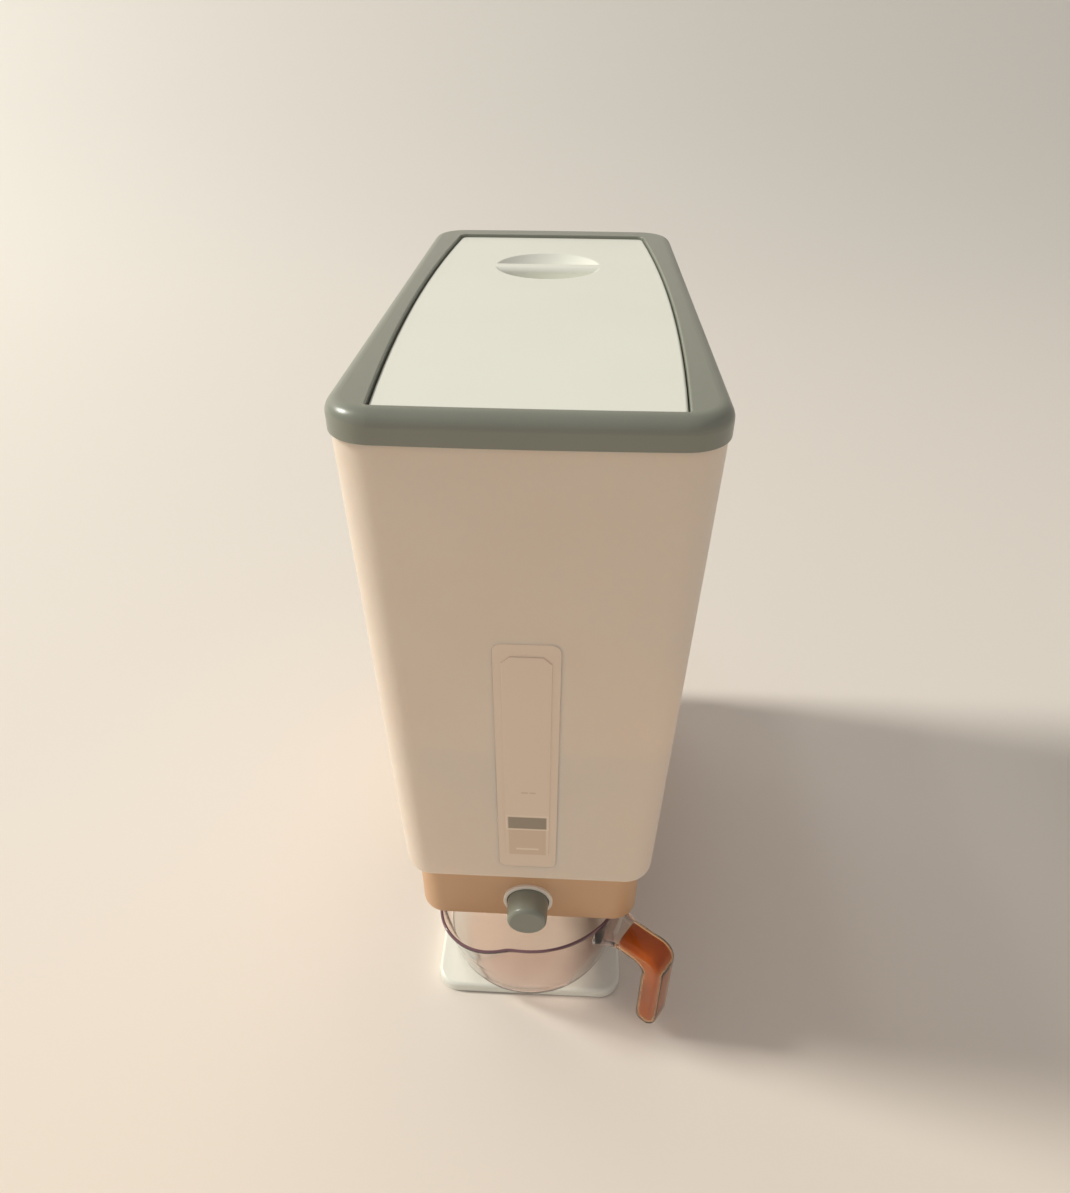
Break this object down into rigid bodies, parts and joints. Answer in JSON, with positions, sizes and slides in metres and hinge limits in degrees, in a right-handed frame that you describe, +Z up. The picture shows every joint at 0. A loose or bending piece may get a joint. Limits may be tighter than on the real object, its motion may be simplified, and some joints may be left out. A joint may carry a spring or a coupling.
{
  "type": "rice dispenser",
  "caption": "Push-button rice dispenser: tapered milky hopper with a flip lid and sight window, sprung shutter, open bay and a clear measuring cup on a flat base.",
  "frame": {"origin": "middle of the footprint on the table, on the underside of the middle foot strip", "axes": "+X to the right seen from the front, +Y to the back, +Z up; the button and cup face -Y"},
  "size_m": [0.1809, 0.3647, 0.4413],
  "materials": {
    "grey_plastic": "satin, warm mid grey",
    "white_plastic": "semi-gloss, warm white",
    "milky_plastic": "milky translucent, satin",
    "clear_plastic": "clear, smooth",
    "pale_plastic": "natural white, satin",
    "cream_plastic": "semi-gloss, warm cream",
    "clear_cup": "clear, smooth, faintly violet at the edges",
    "amber_plastic": "translucent amber, smooth",
    "silicone": "soft, matt",
    "rubber": "matt black",
    "steel": "zinc-plated screws and pins",
    "spring_steel": "bright wire"
  },
  "bodies": {
    "stand": {"lid_frame": "grey_plastic", "frame_seal": "silicone", "container": "milky_plastic", "sight_window": "clear_plastic", "level_slider": "pale_plastic", "level_band": "grey_plastic", "hopper_floor": "milky_plastic", "outlet_throat": "pale_plastic", "throat_gasket": "silicone", "container_screws": "steel", "dispenser_housing": "cream_plastic", "housing_floor": "cream_plastic", "floor_screws": "steel", "button_bezel": "cream_plastic", "gate_guide_left": "pale_plastic", "gate_guide_right": "pale_plastic", "spring_bracket": "pale_plastic", "guide_screws": "steel", "return_spring": "spring_steel", "outlet_spout": "pale_plastic", "stand_column": "cream_plastic", "column_screws": "steel", "base_plate": "white_plastic", "base_cover": "white_plastic", "base_screws": "steel", "foot_strips": "rubber"},
    "flip_panel": {"lid_panel": "white_plastic", "lid_gasket": "silicone", "lid_hinge_pins": "steel"},
    "button": {"push_button": "grey_plastic", "shutter_gate": "pale_plastic", "gate_screws": "steel"},
    "cup": {"measuring_cup": "clear_cup", "cup_handle_insert": "amber_plastic"}
  },
  "joints": [
    {"name": "lid_hinge", "type": "hinge", "parent": "stand", "child": "flip_panel", "pos_m": [0, -0.1624, 0.4379], "axis": [1, 0, 0], "range_deg": [0, 93]},
    {"name": "button_push", "type": "slide", "parent": "stand", "child": "button", "axis": [0, 1, 0], "range_m": [0, 0.014], "stiffness_N_per_m": 250, "springref_m": -0.008, "deforming": ["return_spring"]},
    {"name": "cup_slide", "type": "slide", "parent": "stand", "child": "cup", "axis": [0, -1, 0], "range_m": [0, 0.16]}
  ]
}
